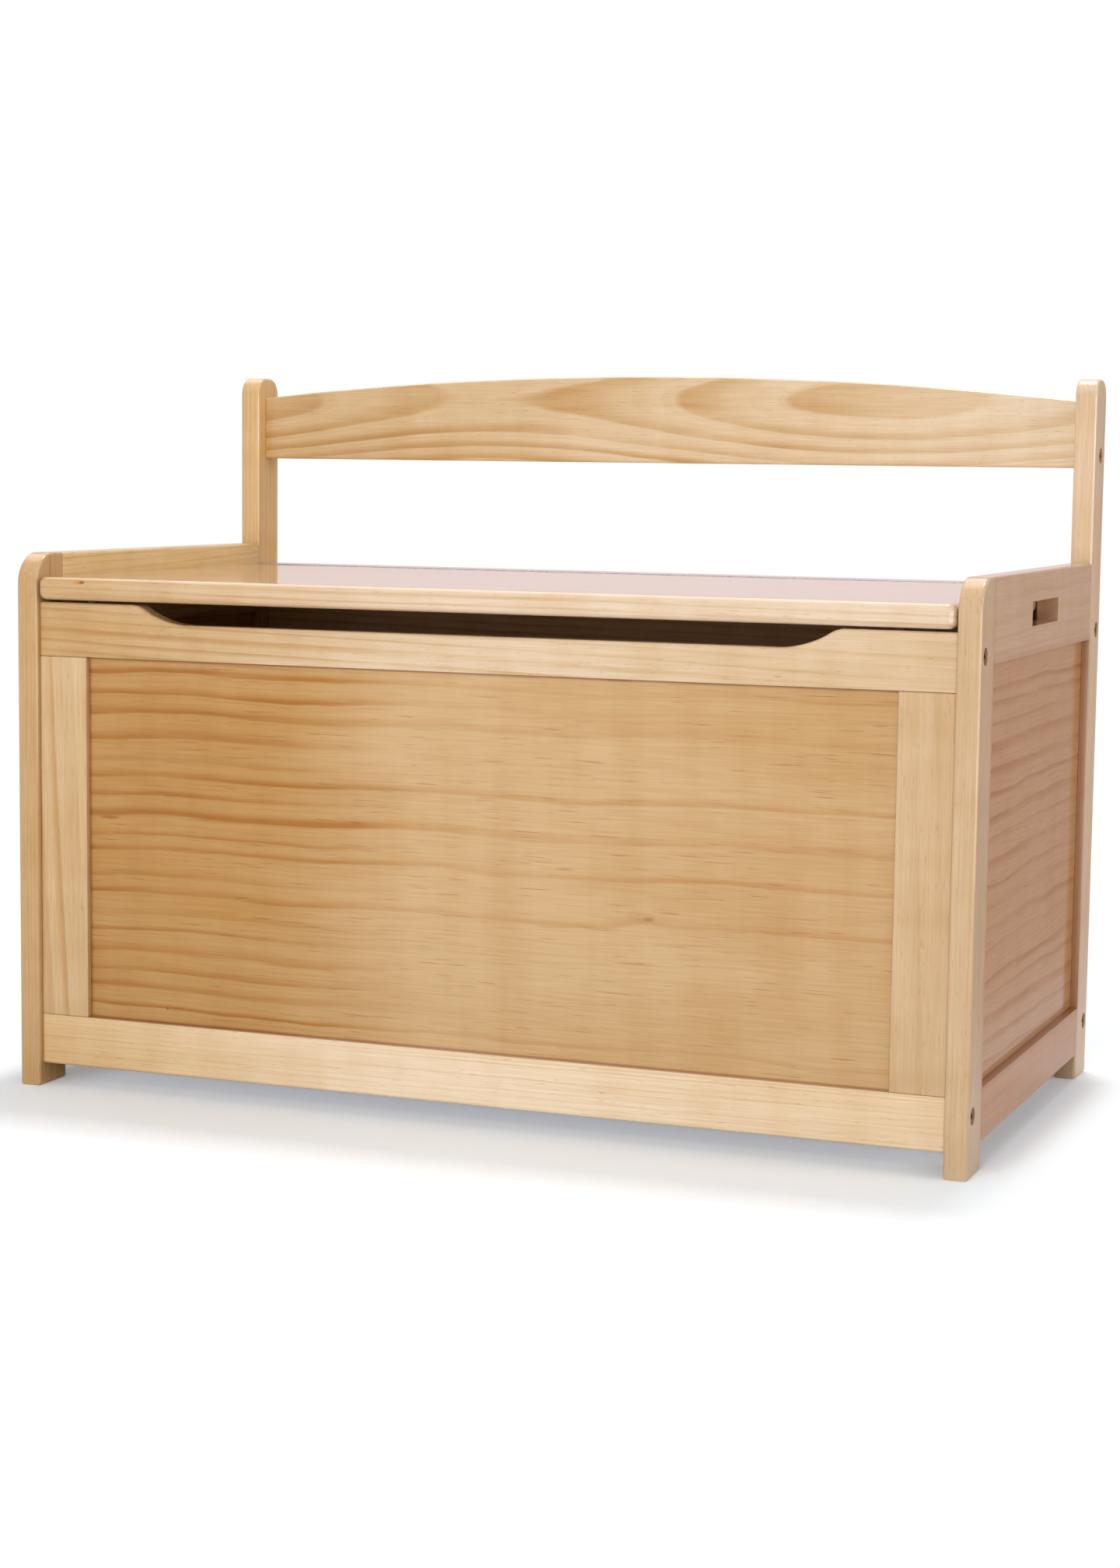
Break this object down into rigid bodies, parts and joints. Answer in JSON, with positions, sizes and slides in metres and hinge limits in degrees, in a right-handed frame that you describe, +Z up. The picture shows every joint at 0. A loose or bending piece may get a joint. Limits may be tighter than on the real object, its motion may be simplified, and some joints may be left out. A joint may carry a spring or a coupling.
{
  "type": "toy box bench",
  "caption": "Pine toy box with a bench seat: panelled frames on four posts, arm rails with hand slots, an arched backrest and a lid hinged at the rear as the seat.",
  "frame": {"origin": "centre of the footprint on the floor, between the lid's front edge and the rear faces of the back posts", "axes": "+Z up, -Y towards the front, +X to the right of someone who looks at the front"},
  "size_m": [0.832, 0.448, 0.618],
  "materials": {
    "pine": "clear lacquered solid pine, semi-gloss",
    "plywood": "clear lacquered pine-faced plywood, semi-gloss",
    "bronze": "bronze-coloured plated steel",
    "steel": "zinc plated",
    "rubber": "soft dark brown rubber"
  },
  "bodies": {
    "box": {"left_front_post": "pine", "left_back_post": "pine", "left_arm_rail": "pine", "left_bottom_rail": "pine", "left_panel": "plywood", "right_front_post": "pine", "right_back_post": "pine", "right_arm_rail": "pine", "right_bottom_rail": "pine", "right_panel": "plywood", "front_top_rail": "pine", "front_bottom_rail": "pine", "back_top_rail": "pine", "back_bottom_rail": "pine", "front_left_stile": "pine", "back_left_stile": "pine", "front_right_stile": "pine", "back_right_stile": "pine", "front_panel": "plywood", "back_panel": "plywood", "backrest_rail": "pine", "left_backrest_dowel": "pine", "right_backrest_dowel": "pine", "left_floor_cleat": "pine", "right_floor_cleat": "pine", "front_floor_cleat": "pine", "back_floor_cleat": "pine", "floor_panel": "plywood", "rear_strip": "pine", "seat_ledger": "pine", "left_ledger_screw": "steel", "middle_ledger_screw": "steel", "right_ledger_screw": "steel", "left_lid_bumper": "rubber", "right_lid_bumper": "rubber", "hinge_strip_leaf": "steel", "hinge_pin": "steel", "left_front_top_bolt": "bronze", "left_front_top_nut": "steel", "left_front_bottom_bolt": "bronze", "left_front_bottom_nut": "steel", "left_back_top_bolt": "bronze", "left_back_top_nut": "steel", "left_back_bottom_bolt": "bronze", "left_back_bottom_nut": "steel", "left_backrest_bolt": "bronze", "left_backrest_nut": "steel", "right_front_top_bolt": "bronze", "right_front_top_nut": "steel", "right_front_bottom_bolt": "bronze", "right_front_bottom_nut": "steel", "right_back_top_bolt": "bronze", "right_back_top_nut": "steel", "right_back_bottom_bolt": "bronze", "right_back_bottom_nut": "steel", "right_backrest_bolt": "bronze", "right_backrest_nut": "steel"},
    "lid": {"lid": "pine", "hinge_lid_leaf": "steel"}
  },
  "joints": [
    {"name": "lid_hinge", "type": "hinge", "parent": "box", "child": "lid", "pos_m": [0, 0.172, 0.43625], "axis": [-1, 0, 0], "range_deg": [0, 95]}
  ]
}
